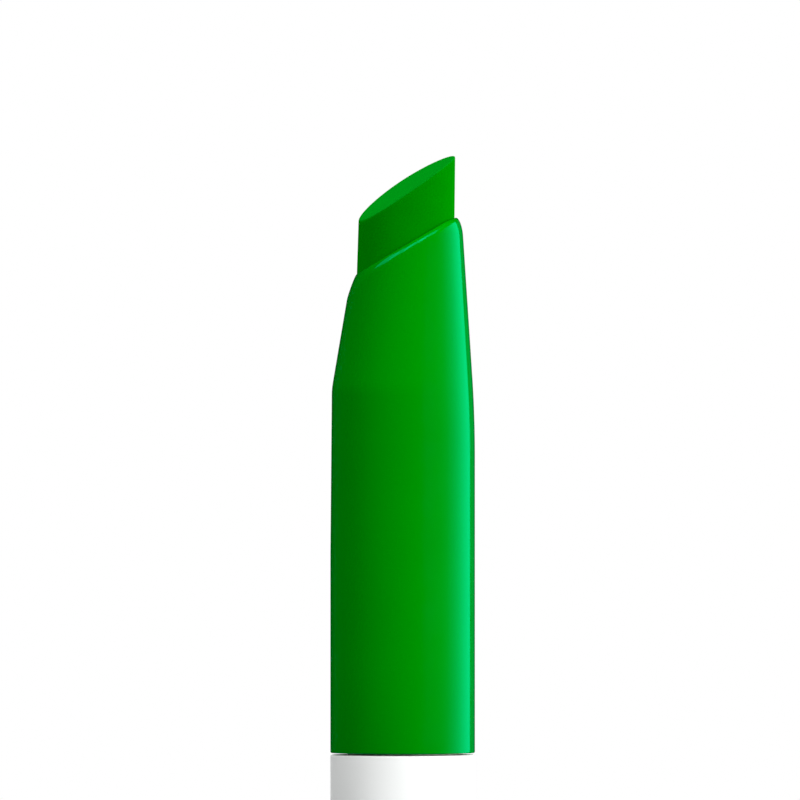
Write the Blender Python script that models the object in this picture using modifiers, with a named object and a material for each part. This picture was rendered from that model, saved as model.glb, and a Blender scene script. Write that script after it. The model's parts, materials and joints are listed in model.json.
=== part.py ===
"""Twist-up lead holder for one thick coloured lead, with a slanted, off-centre nose.

The holder stands on its rear end: +Z runs along the barrel axis to the tip, and the origin is the
centre of the rear face. The nose leans to +X, where the mouth is highest.

Turning the rear barrel turns the nut inside it. The nut drives a screw that a keyed plate keeps from
turning, so the screw pushes the cup and the lead along the axis.
"""

import math

import bmesh
import bpy
from mathutils import Matrix, Vector

MM = 0.001

# Barrels
BARREL_RADIUS = 6.0 * MM
REAR_LENGTH = 89.5 * MM  # rear face to the seam between the two barrels
FRONT_LENGTH = 42.0 * MM  # seam to the middle of the mouth
SEAM_GAP = 0.3 * MM
FRONT_WALL = 0.9 * MM
REAR_WALL = 0.8 * MM

# Nose: the low side (-X) closes in fast, the high side (+X) slowly
MOUTH_SLOPE = 0.59  # rise of the mouth per unit of X
MOUTH_ROUND_START = 3.2 * MM  # from here towards +X the mouth rounds over
MOUTH_ROUND_RADIUS = 4.8 * MM
LOW_SIDE_SLOPE = 0.161
LOW_SIDE_START = 11.75 * MM  # below the middle of the mouth
LOW_SIDE_BLEND = 0.5 * MM
LOW_DRAFT_SLOPE = 0.0085
LOW_DRAFT_START = 25.5 * MM
HIGH_SIDE_SLOPE = 0.0655
HIGH_SIDE_START = 14.0 * MM
HIGH_SIDE_BLEND = 3.3 * MM
RIM_HEIGHTS = (1.85 * MM, 0.45 * MM, 1.4 * MM)  # rounded rim, at the low side, front and high side
RIM_FULLNESS = (0.25, 0.7, 0.5)  # at the same places, 0 for a bevel and 1 for nearly square

# Lead
LEAD_RADIUS = 3.97 * MM
LEAD_OFFSET = 0.28 * MM  # off the barrel axis, towards the high side
LEAD_OUT = 4.8 * MM  # how far it stands out of the mouth, on its own axis
LEAD_CUT_SLOPE = 0.681
LEAD_CUT_TURN = math.radians(13.9)  # from +X towards +Y, the way the cut rises
LEAD_CROWN = 0.16 * MM  # how far the cut stands out in the middle of its slope
LEAD_EDGE = 0.1 * MM

# Feed thread, left-handed
THREAD_PITCH = 3.0 * MM  # what one turn of the rear barrel feeds
TURNS_IN = 2
TURNS_OUT = 6
THREAD_DEPTH = 0.55 * MM
THREAD_CREST = 0.9 * MM
THREAD_FLANK = 0.45 * MM
THREAD_CLEARANCE = 0.15 * MM
SCREW_RADIUS = 2.5 * MM
NUT_LENGTH = 7.3 * MM

# Key: the front of the screw has two flats, in a plate with a two-flat hole
KEY_STEP = 0.2 * MM  # the key is this much smaller than the thread
KEY_FLAT = 1.7 * MM  # axis to each flat
KEY_CLEARANCE = 0.12 * MM
KEY_PLATE_RADIUS = 3.5 * MM
KEY_PLATE_THICKNESS = 1.2 * MM

# Cup that holds the lead
CUP_CLEARANCE = 0.24 * MM  # room for the clamp ring that stands out of the groove
CUP_WALL = 0.63 * MM
CUP_HEIGHT = 8.0 * MM
CUP_BASE = 2.9 * MM
CUP_SLIT = 0.6 * MM
CUP_SLIT_START = 0.8 * MM  # above the floor of the cup
CUP_SHANK_RADIUS = 1.5 * MM
CUP_PIN_RADIUS = 0.45 * MM
CUP_PIN_INSET = 0.58 * MM  # below the outside of the cup
CLAMP_RING_THICKNESS = 0.8 * MM
CLAMP_RING_WALL = 0.3 * MM
CLAMP_GROOVE_DEPTH = 0.28 * MM
CLAMP_GROOVE_DROP = 1.5 * MM  # below the top of the cup
CLAMP_RING_GAP = 1.2 * MM
PAD_THICKNESS = 0.6 * MM

# Joint between the barrels
SPIGOT_LENGTH = 6.8 * MM
JOURNAL_LENGTH = 10.1 * MM
BUSH_WALL = 0.4 * MM
BUSH_LENGTH = 8.0 * MM
BUSH_INSET = 0.2 * MM
RETAINER_THICKNESS = 0.5 * MM
RETAINER_GAP = 3.2 * MM
RETAINER_GROOVE_DEPTH = 0.45 * MM
WASHER_THICKNESS = 1.0 * MM
O_RING_WIRE = 0.34 * MM
O_RING_STRETCH = 0.05 * MM
O_RING_GROOVE = 1.2 * MM
DRAG_RING_DROP = 2.6 * MM  # below the top of the bush

# Drive inside the rear barrel
SLEEVE_WALL = 0.55 * MM
SLEEVE_FLANGE = 1.5 * MM
LUG_WIDTH = 1.1 * MM
LUG_LENGTH = 3.0 * MM
LUG_RISE = 0.7 * MM  # above the bottom of the nut
LUG_OUT = 0.6 * MM
KEYWAY_CLEARANCE = 0.15 * MM
LUGS = 3
SPRING_LENGTH = 8.0 * MM
SPRING_WIRE = 0.3 * MM
SPRING_TURNS = 5
STOP_WASHER_THICKNESS = 1.6 * MM
STOP_THREAD_RADIUS = 0.9 * MM
STOP_THREAD_LENGTH = 4.0 * MM
STOP_HEAD_RADIUS = 1.9 * MM
STOP_HEAD_HEIGHT = 1.2 * MM
STOP_SLOT = 0.5 * MM

# End plug
SHOULDER_WIDTH = 0.6 * MM  # what the drive sleeve rests on
PLUG_LENGTH = 9.0 * MM
PLUG_SPIGOT = 7.0 * MM
PLUG_EDGE = 0.8 * MM
PLUG_BORE = 2.9 * MM
PLUG_FLOOR = 3.0 * MM
PLUG_RING_RISE = 3.6 * MM
FLUTES = 20
FLUTE_DEPTH = 0.25 * MM
FLUTE_RUN_OUT = 0.3 * MM

# Clearances
SLIDE = 0.15 * MM  # radial, where pieces slide or turn on each other
SEAT = 0.15 * MM  # axial, where one piece rests on another
PRESS = 0.1 * MM  # radial, where one piece is fixed in another

ROUND = 48
FINE = 32
SMALL = 20
PIN_SIDES = 16

# What follows from the sizes above: radii
FRONT_BORE = BARREL_RADIUS - FRONT_WALL
REAR_BORE = BARREL_RADIUS - REAR_WALL
JOURNAL_RADIUS = REAR_BORE - PRESS - BUSH_WALL - PRESS
MAGAZINE_RADIUS = REAR_BORE - SHOULDER_WIDTH
LEAD_BORE = LEAD_RADIUS + SLIDE
CUP_RADIUS = LEAD_BORE - CUP_CLEARANCE
LEAD_TAIL_RADIUS = CUP_RADIUS - CUP_WALL - SLIDE
KEY_RADIUS = SCREW_RADIUS - KEY_STEP
SLEEVE_BORE = REAR_BORE - PRESS - SLEEVE_WALL
SCREW_PASSAGE = SCREW_RADIUS + 0.1 * MM + SLIDE
STOP_RADIUS = SCREW_RADIUS + 0.3 * MM

# Travel, and levels along the axis
TRAVEL_IN = TURNS_IN * THREAD_PITCH
TRAVEL_OUT = TURNS_OUT * THREAD_PITCH
SEAM_Z = REAR_LENGTH
MOUTH_Z = SEAM_Z + FRONT_LENGTH
SPIGOT_TOP = SEAM_Z + SPIGOT_LENGTH
PLATE_TOP = SPIGOT_TOP - SEAT
LINER_TOP = MOUTH_Z - HIGH_SIDE_START + BUSH_INSET
CUP_BOTTOM = SPIGOT_TOP + TRAVEL_IN + 2 * PRESS + 2 * SEAT
CUP_FLOOR = CUP_BOTTOM + CUP_BASE
CUP_TOP = CUP_BOTTOM + CUP_HEIGHT
JOURNAL_BOTTOM = SEAM_Z - JOURNAL_LENGTH
BUSH_TOP = SEAM_Z - SEAM_GAP - BUSH_INSET
BUSH_BOTTOM = BUSH_TOP - BUSH_LENGTH
WASHER_TOP = JOURNAL_BOTTOM - SEAT
SPRING_TOP = WASHER_TOP - WASHER_THICKNESS - SEAT
NUT_TOP = SPRING_TOP - SPRING_LENGTH - SEAT
NUT_BOTTOM = NUT_TOP - NUT_LENGTH
SLEEVE_FLOOR = NUT_BOTTOM - SEAT
SLEEVE_BOTTOM = SLEEVE_FLOOR - SLEEVE_FLANGE
STOP_TOP = NUT_BOTTOM - TRAVEL_OUT - SEAT
THREAD_TOP = NUT_TOP + TRAVEL_IN + SEAT + THREAD_FLANK


def clear_scene():
    for item in list(bpy.data.objects):
        bpy.data.objects.remove(item, do_unlink=True)


def new_collection(name):
    made = bpy.data.collections.new(name)
    bpy.context.scene.collection.children.link(made)
    return made


clear_scene()
HOLDER = new_collection("lead_holder")
CUTTERS = new_collection("cutters")


def material(name, colour, roughness, metallic=0.0):
    made = bpy.data.materials.new(name)
    made.use_nodes = True
    shader = made.node_tree.nodes["Principled BSDF"]
    shader.inputs["Base Color"].default_value = (*colour, 1.0)
    shader.inputs["Roughness"].default_value = roughness
    shader.inputs["Metallic"].default_value = metallic
    made.diffuse_color = (*colour, 1.0)
    return made


def place(name, data, finish):
    """Adds an object to the holder, or to the cutters if it has no finish."""
    made = bpy.data.objects.new(name, data)
    if finish is None:
        CUTTERS.objects.link(made)
        made.hide_render = True
        made.display_type = "WIRE"
    else:
        HOLDER.objects.link(made)
        data.materials.append(finish)
    return made


def object_from(name, shape, finish):
    mesh = bpy.data.meshes.new(name)
    bmesh.ops.recalc_face_normals(shape, faces=shape.faces)
    shape.to_mesh(mesh)
    shape.free()
    mesh.shade_smooth()
    mesh.set_sharp_from_angle(angle=math.radians(35))
    return place(name, mesh, finish)


def boolean(target, other, operation="DIFFERENCE"):
    step = target.modifiers.new(other.name, "BOOLEAN")
    step.operation = operation
    step.object = other
    return target


def turned(name, outline, finish, segments=FINE, x=0.0):
    """A turned piece from (radius, height) pairs that run down the outer side first.

    An outline that starts and ends on the axis makes a solid piece, and any other makes a ring.
    """
    solid = outline[0][0] == 0.0 and outline[-1][0] == 0.0
    shape = bmesh.new()
    points = [shape.verts.new((radius, 0.0, height)) for radius, height in outline]
    for first, second in zip(points, points[1:]):
        shape.edges.new((first, second))
    if not solid:
        shape.edges.new((points[-1], points[0]))
    mesh = bpy.data.meshes.new(name)
    shape.to_mesh(mesh)
    shape.free()
    made = place(name, mesh, finish)
    made.location.x = x
    spin = made.modifiers.new("turn", "SCREW")
    spin.steps = segments
    spin.render_steps = segments
    spin.use_merge_vertices = True
    spin.merge_threshold = 0.00001
    return made


def tube(name, inner, outer, bottom, top, finish, segments=FINE, x=0.0):
    outline = [(outer, top), (outer, bottom), (inner, bottom), (inner, top)]
    return turned(name, outline, finish, segments, x)


def rod(name, radius, bottom, top, finish=None, segments=FINE, x=0.0):
    """A solid cylinder along the axis; without a finish it is a cutter."""
    shape = bmesh.new()
    bmesh.ops.create_cone(
        shape, cap_ends=True, segments=segments, radius1=radius, radius2=radius, depth=top - bottom
    )
    bmesh.ops.translate(shape, verts=shape.verts, vec=(x, 0.0, (top + bottom) / 2))
    return object_from(name, shape, finish)


def cross_rod(name, radius, length, height, finish=None):
    """A solid cylinder along Y."""
    shape = bmesh.new()
    bmesh.ops.create_cone(
        shape, cap_ends=True, segments=PIN_SIDES, radius1=radius, radius2=radius, depth=length
    )
    quarter = Matrix.Rotation(math.pi / 2, 3, "X")
    bmesh.ops.rotate(shape, verts=shape.verts, cent=(0, 0, 0), matrix=quarter)
    bmesh.ops.translate(shape, verts=shape.verts, vec=(0.0, 0.0, height))
    return object_from(name, shape, finish)


def block(name, size, centre, turn=0.0):
    """A box-shaped cutter of the given full sizes, turned about the barrel axis."""
    shape = bmesh.new()
    bmesh.ops.create_cube(shape, size=1.0)
    bmesh.ops.scale(shape, verts=shape.verts, vec=size)
    bmesh.ops.translate(shape, verts=shape.verts, vec=centre)
    bmesh.ops.rotate(shape, verts=shape.verts, cent=(0, 0, 0), matrix=Matrix.Rotation(turn, 3, "Z"))
    return object_from(name, shape, None)


def loft(name, rings, finish, closed=False):
    """Joins rings of equally many points. A closed loft also joins the last ring to the first."""
    shape = bmesh.new()
    loops = [[shape.verts.new(point) for point in points] for points in rings]
    pairs = list(zip(loops, loops[1:]))
    if closed:
        pairs.append((loops[-1], loops[0]))
    else:
        shape.faces.new(loops[0])
        shape.faces.new(loops[-1])
    count = len(loops[0])
    for lower, upper in pairs:
        for i in range(count):
            j = (i + 1) % count
            shape.faces.new((lower[i], lower[j], upper[j], upper[i]))
    return object_from(name, shape, finish)


def angles(count):
    return [math.tau * i / count for i in range(count)]


def ring(radius, height, x=0.0, count=ROUND):
    return [Vector((x + radius * math.cos(a), radius * math.sin(a), height)) for a in angles(count)]


def o_ring(name, radius, height, finish):
    """Rubber ring whose inside meets the given groove radius."""
    middle = radius + O_RING_STRETCH + O_RING_WIRE
    rings = []
    for a in angles(8):
        rings.append(ring(middle + O_RING_WIRE * math.cos(a), height + O_RING_WIRE * math.sin(a), count=FINE))
    return loft(name, rings, finish, closed=True)


def ramp(height, start, blend):
    """0 below the start, then rising at 1, with a round blend of this half-length between the two."""
    along = height - start
    if along <= -blend:
        return 0.0
    if along >= blend:
        return along
    return (along + blend) ** 2 / (4 * blend)


def wall_point(angle, height):
    """Outer wall of the front barrel, whose sections are circles that drift towards +X."""
    draft = ramp(height, MOUTH_Z - LOW_DRAFT_START, LOW_SIDE_BLEND)
    taper = ramp(height, MOUTH_Z - LOW_SIDE_START, LOW_SIDE_BLEND)
    low = BARREL_RADIUS - LOW_DRAFT_SLOPE * draft - LOW_SIDE_SLOPE * taper
    high = BARREL_RADIUS - HIGH_SIDE_SLOPE * ramp(height, MOUTH_Z - HIGH_SIDE_START, HIGH_SIDE_BLEND)
    centre, radius = (high - low) / 2, (high + low) / 2
    return Vector((centre + radius * math.cos(angle), radius * math.sin(angle), height))


def mouth_height(x):
    rounded = max(0.0, x - MOUTH_ROUND_START)
    return MOUTH_Z + MOUTH_SLOPE * x - rounded**2 / (2 * MOUTH_ROUND_RADIUS)


def around(angle, values):
    """Blends from the front's value to the low side's and the high side's."""
    low, front, high = values
    side = math.cos(angle)
    end = high if side > 0 else low
    return front + (end - front) * side**2


def wall_corner(angle):
    """Where the outer wall would meet the plane of the mouth."""
    height = MOUTH_Z
    for _ in range(12):
        height = mouth_height(wall_point(angle, height).x)
    return wall_point(angle, height)


def rim_start(angle):
    """Height at which the outer wall turns into the rounded rim."""
    return wall_corner(angle).z - around(angle, RIM_HEIGHTS)


def rim_point(angle, share):
    """The rounded rim, from the outer wall at 0 to the edge of the bore at 1."""
    start = wall_point(angle, rim_start(angle))
    corner = wall_corner(angle)
    x = LEAD_OFFSET + LEAD_BORE * math.cos(angle)
    end = Vector((x, LEAD_BORE * math.sin(angle), mouth_height(x)))
    a, b, c = (1 - share) ** 2, 2 * share * (1 - share) * around(angle, RIM_FULLNESS), share**2
    return (a * start + b * corner + c * end) / (a + b + c)


def front_barrel(finish):
    """The green shell: a straight barrel that leans into the slanted nose, open from end to end."""
    turn = angles(ROUND)
    low_bend = MOUTH_Z - LOW_SIDE_START
    high_bend = MOUTH_Z - HIGH_SIDE_START
    levels = [MOUTH_Z - LOW_DRAFT_START]
    levels += [high_bend - HIGH_SIDE_BLEND, high_bend - HIGH_SIDE_BLEND / 3, high_bend + HIGH_SIDE_BLEND / 3]
    levels += [low_bend - LOW_SIDE_BLEND, low_bend, low_bend + LOW_SIDE_BLEND, high_bend + HIGH_SIDE_BLEND]
    rings = [ring(BARREL_RADIUS, SEAM_Z)]
    for level in levels:
        rings.append([wall_point(a, level) for a in turn])
    for share in (0.25, 0.5, 0.75, 1.0):
        rings.append([wall_point(a, levels[-1] + share * (rim_start(a) - levels[-1])) for a in turn])
    for share in (0.2, 0.4, 0.6, 0.8, 1.0):
        rings.append([rim_point(a, share) for a in turn])
    rings.append(ring(LEAD_BORE, LINER_TOP + SEAT, LEAD_OFFSET))
    rings.append(ring(FRONT_BORE, LINER_TOP + SEAT))
    rings.append(ring(FRONT_BORE, SEAM_Z))
    return loft("front_barrel", rings, finish, closed=True)


def guide_liner(finish):
    """Low-friction sleeve that carries the lead and its cup, bored off-centre."""
    outer = FRONT_BORE - PRESS
    bottom = SPIGOT_TOP + SEAT
    rings = [
        ring(outer, LINER_TOP, count=FINE),
        ring(outer, bottom, count=FINE),
        ring(LEAD_BORE, bottom, LEAD_OFFSET, FINE),
        ring(LEAD_BORE, LINER_TOP, LEAD_OFFSET, FINE),
    ]
    return loft("guide_liner", rings, finish, closed=True)


def lead(finish):
    """The coloured lead: a round stick cut on a slant, with a thinner tail that the cup grips."""
    tail_bottom = CUP_FLOOR + PAD_THICKNESS + 2 * SEAT
    shoulder = CUP_TOP + SEAT
    middle = mouth_height(LEAD_OFFSET) + LEAD_OUT

    def cut_ring(radius, drop):
        points = ring(radius, middle - drop, LEAD_OFFSET)
        for a, point in zip(angles(ROUND), points):
            along = radius * math.cos(a - LEAD_CUT_TURN)
            point.z += LEAD_CUT_SLOPE * along + LEAD_CROWN * (1 - (along / LEAD_RADIUS) ** 2)
        return points

    rings = [
        ring(LEAD_TAIL_RADIUS, tail_bottom, LEAD_OFFSET),
        ring(LEAD_TAIL_RADIUS, shoulder, LEAD_OFFSET),
        ring(LEAD_RADIUS, shoulder, LEAD_OFFSET),
        cut_ring(LEAD_RADIUS, LEAD_EDGE),
        cut_ring(LEAD_RADIUS - LEAD_EDGE, 0.0),
        cut_ring(0.7 * LEAD_RADIUS, 0.0),
        cut_ring(0.4 * LEAD_RADIUS, 0.0),
    ]
    return loft("lead", rings, finish)


def lead_cup(finish):
    """Slit cup on the end of the screw. Its socket is off-centre, like the lead."""
    socket = LEAD_TAIL_RADIUS + SLIDE
    groove_top = CUP_TOP - CLAMP_GROOVE_DROP
    groove_bottom = groove_top - CLAMP_RING_THICKNESS - 2 * PRESS
    groove = CUP_RADIUS - CLAMP_GROOVE_DEPTH
    outline = [
        (0.0, CUP_FLOOR),
        (socket, CUP_FLOOR),
        (socket, CUP_TOP),
        (CUP_RADIUS, CUP_TOP),
        (CUP_RADIUS, groove_top),
        (groove, groove_top),
        (groove, groove_bottom),
        (CUP_RADIUS, groove_bottom),
        (CUP_RADIUS, CUP_BOTTOM),
        (0.0, CUP_BOTTOM),
    ]
    cup = turned("lead_cup", outline, finish, x=LEAD_OFFSET)
    boolean(cup, rod("shank_hole", CUP_SHANK_RADIUS + PRESS, CUP_BOTTOM - MM, CUP_FLOOR + MM, segments=SMALL))
    pin_height = CUP_BOTTOM + CUP_BASE / 2
    boolean(cup, cross_rod("cup_pin_hole", CUP_PIN_RADIUS + PRESS, 2 * BARREL_RADIUS, pin_height))
    for i in range(2):
        bottom = CUP_FLOOR + CUP_SLIT_START
        size = (CUP_SLIT, 3 * CUP_RADIUS, CUP_TOP + MM - bottom)
        slit = block(f"cup_slit_{i}", size, (0.0, 0.0, bottom + size[2] / 2), math.radians(45 + 90 * i))
        slit.location.x = LEAD_OFFSET
        boolean(cup, slit)
    return cup


def clamp_ring(finish):
    """Split spring ring in the groove of the cup, which closes its fingers on the lead."""
    inner = CUP_RADIUS - CLAMP_GROOVE_DEPTH + PRESS
    top = CUP_TOP - CLAMP_GROOVE_DROP - PRESS
    outer = inner + CLAMP_RING_WALL
    made = tube("clamp_ring", inner, outer, top - CLAMP_RING_THICKNESS, top, finish, x=LEAD_OFFSET)
    size = (2 * CUP_RADIUS, CLAMP_RING_GAP, 3 * CLAMP_RING_THICKNESS)
    return boolean(made, block("clamp_ring_gap", size, (-CUP_RADIUS, 0.0, top)))


def lead_pad(finish):
    bottom = CUP_FLOOR + SEAT
    return rod("lead_pad", LEAD_TAIL_RADIUS, bottom, bottom + PAD_THICKNESS, finish, x=LEAD_OFFSET)


def thread_body(name, grow, bottom, top):
    """A threaded rod with a left-hand thread and flat ends, grown by the same amount all over."""
    crest = SCREW_RADIUS + grow
    root = crest - THREAD_DEPTH
    half = THREAD_CREST / 2 + grow
    profile = [
        (root, -half - THREAD_FLANK),
        (crest, -half),
        (crest, half),
        (root, half + THREAD_FLANK),
        (root, THREAD_PITCH - half - THREAD_FLANK),
    ]
    start = NUT_BOTTOM - THREAD_PITCH * math.ceil((NUT_BOTTOM - bottom) / THREAD_PITCH + 1)
    turns = math.ceil((top - start) / THREAD_PITCH + 1)
    end = start + THREAD_PITCH * turns
    shape = bmesh.new()
    rows = []
    for step in range(SMALL * turns + 1):
        spin = Matrix.Rotation(-math.tau * step / SMALL, 3, "Z")
        height = start + THREAD_PITCH * step / SMALL
        rows.append([shape.verts.new(spin @ Vector((r, 0.0, height + z))) for r, z in profile])
    for row, following in zip(rows, rows[1:]):
        for i in range(len(profile) - 1):
            shape.faces.new((row[i], row[i + 1], following[i + 1], following[i]))
    bmesh.ops.remove_doubles(shape, verts=shape.verts, dist=0.001 * MM)
    rims = [edge for edge in shape.edges if edge.is_boundary]
    for height in (start, end):
        tip = shape.verts.new((0.0, 0.0, height))
        for edge in rims:
            if abs(edge.verts[0].co.z - height) < (end - start) / 2:
                shape.faces.new((edge.verts[0], edge.verts[1], tip))
    made = object_from(name, shape, None)
    return boolean(made, rod(name + "_ends", 2 * SCREW_RADIUS, bottom, top), "INTERSECT")


def feed_screw(finish):
    """Threaded behind, with two flats in front, and a thin shank that is pinned into the cup."""
    shank_top = CUP_FLOOR - SEAT
    key_top = CUP_BOTTOM - SEAT
    key_bottom = THREAD_TOP - THREAD_FLANK
    outline = [
        (0.0, shank_top),
        (CUP_SHANK_RADIUS, shank_top),
        (CUP_SHANK_RADIUS, key_top),
        (KEY_RADIUS, key_top),
        (KEY_RADIUS, key_bottom),
        (0.0, key_bottom),
    ]
    screw = turned("feed_screw", outline, finish, SMALL)
    size = (2 * KEY_RADIUS, 3 * KEY_RADIUS, key_top - key_bottom + 2 * MM)
    for side in (-1, 1):
        centre = (side * (KEY_FLAT + KEY_RADIUS), 0.0, (key_top + key_bottom) / 2)
        boolean(screw, block(f"key_flat_{side + 1}", size, centre))
    hole = cross_rod("shank_pin_hole", CUP_PIN_RADIUS + PRESS, 2 * BARREL_RADIUS, CUP_BOTTOM + CUP_BASE / 2)
    boolean(screw, hole)
    boolean(screw, thread_body("screw_thread", 0.0, STOP_TOP + SEAT, THREAD_TOP), "UNION")
    radius = STOP_THREAD_RADIUS + PRESS
    depth = STOP_TOP + STOP_THREAD_LENGTH + SEAT
    return boolean(screw, rod("stop_screw_hole", radius, STOP_TOP - MM, depth, segments=PIN_SIDES))


def feed_nut(finish):
    """Nut with lugs that ride in the keyways of the drive sleeve."""
    radius = SLEEVE_BORE - SLIDE
    nut = rod("feed_nut", radius, NUT_BOTTOM, NUT_TOP, finish)
    for i in range(LUGS):
        size = (2 * LUG_OUT, LUG_WIDTH, LUG_LENGTH)
        centre = (radius, 0.0, NUT_BOTTOM + LUG_RISE + LUG_LENGTH / 2)
        boolean(nut, block(f"nut_lug_{i}", size, centre, math.tau * i / LUGS), "UNION")
    return boolean(nut, thread_body("nut_thread", THREAD_CLEARANCE, NUT_BOTTOM - MM, NUT_TOP + MM))


def drive_sleeve(finish):
    """Fixed in the rear barrel. The nut rests on its flange and is turned by its keyways."""
    outer = REAR_BORE - PRESS
    hole = STOP_RADIUS + 2 * SLIDE + PRESS
    outline = [
        (outer, WASHER_TOP),
        (outer, SLEEVE_BOTTOM),
        (hole, SLEEVE_BOTTOM),
        (hole, SLEEVE_FLOOR),
        (SLEEVE_BORE, SLEEVE_FLOOR),
        (SLEEVE_BORE, WASHER_TOP),
    ]
    sleeve = turned("drive_sleeve", outline, finish)
    bottom = NUT_BOTTOM + LUG_RISE - 3 * SEAT
    for i in range(LUGS):
        size = (4 * LUG_OUT, LUG_WIDTH + 2 * KEYWAY_CLEARANCE, WASHER_TOP + MM - bottom)
        centre = (outer, 0.0, bottom + size[2] / 2)
        boolean(sleeve, block(f"keyway_{i}", size, centre, math.tau * i / LUGS))
    return sleeve


def take_up_spring(finish):
    """Coil spring between the nut and the thrust washer. It takes up the play of the nut."""
    radius = (SLEEVE_BORE + SCREW_RADIUS) / 2
    curve = bpy.data.curves.new("take_up_spring", "CURVE")
    curve.dimensions = "3D"
    curve.bevel_depth = SPRING_WIRE
    curve.bevel_resolution = 1
    curve.use_fill_caps = True
    count = SPRING_TURNS * PIN_SIDES + 1
    line = curve.splines.new("POLY")
    line.points.add(count - 1)
    bottom = NUT_TOP + SEAT + SPRING_WIRE
    height = SPRING_LENGTH - 2 * SPRING_WIRE
    for i, point in enumerate(line.points):
        share = i / (count - 1)
        angle = math.tau * SPRING_TURNS * share
        point.co = (radius * math.cos(angle), radius * math.sin(angle), bottom + height * share, 1.0)
    return place("take_up_spring", curve, finish)


def connector(finish):
    """Joins the barrels: its spigot is fixed in the front one, and the rear one turns on its journal."""
    spigot = FRONT_BORE - PRESS
    shoulder = SEAM_Z + BUSH_INSET
    plate_seat = PLATE_TOP - KEY_PLATE_THICKNESS - SEAT
    ring_top = BUSH_TOP - DRAG_RING_DROP + O_RING_GROOVE / 2
    ring_bottom = ring_top - O_RING_GROOVE
    clip_top = BUSH_BOTTOM - SEAT
    clip_bottom = clip_top - RETAINER_THICKNESS - 2 * PRESS
    clip = JOURNAL_RADIUS - RETAINER_GROOVE_DEPTH
    outline = [
        (spigot, SPIGOT_TOP),
        (spigot, shoulder),
        (JOURNAL_RADIUS, shoulder),
        (JOURNAL_RADIUS, ring_top),
        (JOURNAL_RADIUS - 2 * O_RING_WIRE, ring_top),
        (JOURNAL_RADIUS - 2 * O_RING_WIRE, ring_bottom),
        (JOURNAL_RADIUS, ring_bottom),
        (JOURNAL_RADIUS, clip_top),
        (clip, clip_top),
        (clip, clip_bottom),
        (JOURNAL_RADIUS, clip_bottom),
        (JOURNAL_RADIUS, JOURNAL_BOTTOM),
        (SCREW_PASSAGE, JOURNAL_BOTTOM),
        (SCREW_PASSAGE, plate_seat),
        (KEY_PLATE_RADIUS + PRESS, plate_seat),
        (KEY_PLATE_RADIUS + PRESS, SPIGOT_TOP),
    ]
    return turned("connector", outline, finish)


def key_plate(finish):
    """Steel plate with a two-flat hole, which lets the screw slide and keeps it from turning."""
    bottom = PLATE_TOP - KEY_PLATE_THICKNESS
    plate = rod("key_plate", KEY_PLATE_RADIUS, bottom, PLATE_TOP, finish)
    hole = rod("key_hole", KEY_RADIUS + KEY_CLEARANCE, bottom - MM, PLATE_TOP + MM, segments=SMALL)
    size = (2 * (KEY_FLAT + KEY_CLEARANCE), 4 * KEY_RADIUS, 5 * KEY_PLATE_THICKNESS)
    boolean(hole, block("key_hole_flats", size, (0.0, 0.0, PLATE_TOP)), "INTERSECT")
    return boolean(plate, hole)


def drag_o_ring(finish):
    """Rubber ring on the journal, whose drag holds the rear barrel where it is turned to."""
    return o_ring("drag_o_ring", JOURNAL_RADIUS - 2 * O_RING_WIRE, BUSH_TOP - DRAG_RING_DROP, finish)


def retaining_ring(finish):
    """Split ring at the end of the journal, which keeps the rear barrel on."""
    top = BUSH_BOTTOM - SEAT - PRESS
    inner = JOURNAL_RADIUS - RETAINER_GROOVE_DEPTH + PRESS
    outer = REAR_BORE - 2 * PRESS
    made = tube("retaining_ring", inner, outer, top - RETAINER_THICKNESS, top, finish)
    size = (2 * MM, RETAINER_GAP, 4 * RETAINER_THICKNESS)
    return boolean(made, block("retaining_ring_gap", size, (JOURNAL_RADIUS, 0.0, top)))


def thrust_washer(finish):
    bottom = WASHER_TOP - WASHER_THICKNESS
    return tube("thrust_washer", SCREW_PASSAGE, SLEEVE_BORE - SLIDE, bottom, WASHER_TOP, finish)


def bearing_bush(finish):
    """Brass bush fixed in the rear barrel, which turns on the journal."""
    return tube("bearing_bush", JOURNAL_RADIUS + PRESS, REAR_BORE - PRESS, BUSH_BOTTOM, BUSH_TOP, finish)


def rear_barrel(finish):
    """Barrel that is turned by hand, with a shoulder inside that the drive sleeve rests on."""
    top = SEAM_Z - SEAM_GAP
    bottom = PLUG_LENGTH + SEAT
    shoulder = SLEEVE_BOTTOM - SEAT
    outline = [
        (BARREL_RADIUS, top),
        (BARREL_RADIUS, bottom),
        (MAGAZINE_RADIUS, bottom),
        (MAGAZINE_RADIUS, shoulder),
        (REAR_BORE, shoulder),
        (REAR_BORE, top),
    ]
    return turned("rear_barrel", outline, finish, ROUND)


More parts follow.
